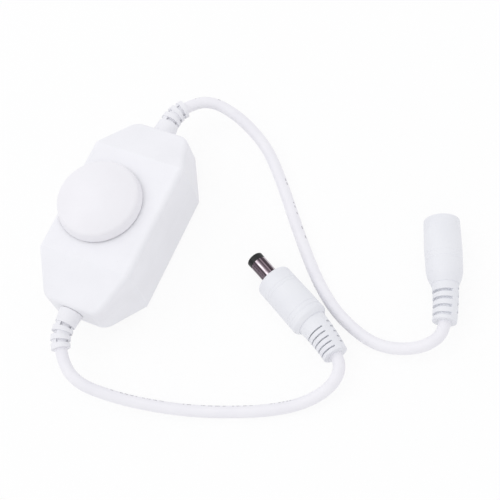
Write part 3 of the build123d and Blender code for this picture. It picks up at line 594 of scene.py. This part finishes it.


# Plug: a brass barrel drawn to size and plated with nickel, with long streaks along it and
# patches that handling has dulled. Its pale and dark lengthwise lines, set round its axis, are
# painted highlights and painted reflections of the room. A black insulator fills it and stands
# out as a tip, with a brass contact tube in its bore.
REFLECTION_STRIPES = 5
REFLECTION_TURN = -0.44
STREAK_DRAW = (0.015, 1, 1)
barrel = next(mount for mount in frame["record"]["mounts"] if mount["name"] == "plug_barrel")
barrel_x, barrel_y, barrel_z = [c * PER_MM for c in barrel["pos_m"]]
heading = math.atan2(barrel["axis"][1], barrel["axis"][0])
barrel_across = barrel_y * math.cos(heading) - barrel_x * math.sin(heading)
nickel_finish = Finish("bright_nickel", metallic=1.0)
barrel_frame = nickel_finish.node(
    "VectorRotate",
    {"rotation_type": "Z_AXIS"},
    {"Vector": nickel_finish.place(), "Angle": -heading},
)
drawn_out = nickel_finish.vector("MULTIPLY", {0: barrel_frame, 1: STREAK_DRAW})


# This noise gives the draw marks in the gloss and the bump, and breaks up the painted
# reflections.
def draw_marks_and_reflections(per_mm, detail, rough):
    """Noise in long lines along the barrel, with so many of them to a millimetre."""
    values = {"Vector": drawn_out, "Scale": per_mm * PER_MM, "Detail": detail, "Roughness": rough}
    return nickel_finish.node("TexNoise", {}, values)


streaks = draw_marks_and_reflections(1.6, 4.0, 0.7)
reflection_bands = draw_marks_and_reflections(0.58, 1.0, 0.5)
mauve = nickel_finish.clamped(nickel_finish.noise(0.5, 2.0), 0.4, 0.65)
fingered = nickel_finish.clamped(nickel_finish.noise(0.8, 4.0, 0.7), 0.5, 0.7)
crosswise = nickel_finish.node("SeparateXYZ", {}, {0: barrel_frame}, "Y") * PER_MM
beside = crosswise - barrel_across
above = nickel_finish.measured("Z") - barrel_z
round_barrel = above.maths("ARCTAN2", above, beside)
# Painted reflection: a cosine round the barrel's axis makes pale and dark lengthwise lines in the
# colour.
painted_reflection = above.maths("COSINE", round_barrel * REFLECTION_STRIPES + REFLECTION_TURN)
# The pale tone is a painted highlight, and the dark tone between is a painted dark reflection.
bright = nickel_finish.blend(mauve, rgb(212, 204, 210), rgb(186, 174, 182))
between = nickel_finish.clamped(reflection_bands * 0.4 + streaks * 0.6, 0.46, 0.6)
between = nickel_finish.blend(between, rgb(52, 43, 50), rgb(154, 138, 148))
painted_reflection_mask = nickel_finish.clamped(painted_reflection + (reflection_bands - 0.5) * 0.8 + (streaks - 0.5) * 0.6, 0.62, 0.95)
nickel = nickel_finish.wear(
    base_color=nickel_finish.blend(painted_reflection_mask, between, bright),
    roughness=0.16 + fingered * 0.12 + (streaks - 0.5) * 0.1,
    normal=nickel_finish.bump(streaks, 0.02),
)
dress("plug_barrel", nickel)

insulator_black = plain_moulding(
    "black_insulator",
    rgb(34, 36, 36),
    rgb(27, 28, 29),
    0.38,
    8.0,
    0.012,
    specular_ior_level=0.3,
)
dress("plug_insulator", insulator_black)
dress("plug_centre_contact", brass)


# Jack: a white liner sits in the mouth of the grip and carries the nickel centre pin and a
# brass spring leaf that presses on the barrel of the plug.
liner_white = plain_moulding(
    "liner_white", rgb(236, 236, 240), rgb(230, 230, 235), 0.4, 8.0, 0.01
)
dress("jack_liner", liner_white)
dress("jack_centre_pin", nickel)
dress("jack_spring_contact", brass)


# Table and room: a white sweep lit evenly from all round, as in a light tent. What the camera,
# glossy metal or a clear piece sees of it is nearly white, and the object's shadow still shows.
TABLE_HALF = 4.0
TABLE_DROP = 0.00002
TABLE_GLOW = 0.88
ROOM_COLOR = (0.985, 0.985, 1.0, 1)
ROOM_LEVEL = 0.87
WHITE = (1, 1, 1, 1)
table_finish = Finish("white_table")
grey = table_finish.noise(0.02, 2.0)
glow = table_finish.node("Emission", {}, {"Color": WHITE, "Strength": 1.0})
glow_share = table_finish.seen_directly() * TABLE_GLOW
glowing = table_finish.node("MixShader", {}, {0: glow_share, 1: table_finish.skin, 2: glow})
table_finish.wear(
    shown=glowing,
    base_color=table_finish.blend(grey, rgb(250, 250, 250), rgb(248, 248, 248)),
    roughness=0.9 + grey * 0.05,
)
table_mesh = bpy.data.meshes.new("table")
built = bmesh.new()
bmesh.ops.create_grid(built, x_segments=4, y_segments=4, size=TABLE_HALF)
built.to_mesh(table_mesh)
built.free()
table_mesh.materials.append(table_finish.material)
table = bpy.data.objects.new("table", table_mesh)
table.location.z = -TABLE_DROP
bpy.context.collection.objects.link(table)

room = bpy.data.worlds.new("room")
room.use_nodes = True
room_web = Web(room.node_tree)
even_light = room_web.node("Background", {}, {"Color": ROOM_COLOR, "Strength": ROOM_LEVEL})
white_wall = room_web.node("Background", {}, {"Color": WHITE, "Strength": 1.0})
seen = room_web.seen_directly()
mixed = room_web.node("MixShader", {}, {0: seen, 1: even_light, 2: white_wall})
room_web.node("OutputWorld", {}, {"Surface": mixed})
bpy.context.scene.world = room


# Lamps: a large soft box behind the object and above it, and a weaker one straight above it.
# They give the even light of the room a gentle direction.
def soft_box(name, place, target, size, power, tint):
    """A square area lamp aimed at a point."""
    lamp = bpy.data.lights.new(name, "AREA")
    lamp.shape = "SQUARE"
    lamp.size = size
    lamp.energy = power
    lamp.color = tint
    holder = bpy.data.objects.new(name, lamp)
    holder.location = place
    holder.rotation_euler = (Vector(target) - Vector(place)).to_track_quat("-Z", "Y").to_euler()
    bpy.context.collection.objects.link(holder)


soft_box("key_box", (-0.10, 0.55, 0.85), (0, -0.03, 0), 0.7, 1.3, (1.0, 0.99, 0.98))
soft_box("top_box", (0.05, -0.05, 1.0), (0, -0.05, 0), 0.9, 0.6, (0.97, 0.98, 1.0))


# Camera: a long lens from above and in front, rolled a little, as the photograph was taken. Its
# place and its axes come from the edges of the casing in the photograph.
SENSOR_WIDTH = 36
FOCAL_LENGTH = 93.6
CAMERA_PLACE = (-0.1255, -0.1790, 0.3741)
IMAGE_RIGHT = (0.4072, -0.8942, -0.1862)
IMAGE_UP = (0.8551, 0.3015, 0.4219)
lens = bpy.data.cameras.new("camera")
lens.sensor_width = SENSOR_WIDTH
lens.lens = FOCAL_LENGTH
lens.clip_start = 0.02
lens.clip_end = 20
right = Vector(IMAGE_RIGHT)
up = Vector(IMAGE_UP)
up = (up - right * up.dot(right)).normalized()
back = right.cross(up)
camera = bpy.data.objects.new("camera", lens)
turn = Matrix((right, up, back)).transposed().to_4x4()
camera.matrix_world = Matrix.Translation(CAMERA_PLACE) @ turn
bpy.context.collection.objects.link(camera)
bpy.context.scene.camera = camera
bpy.context.scene.view_settings.view_transform = "Standard"
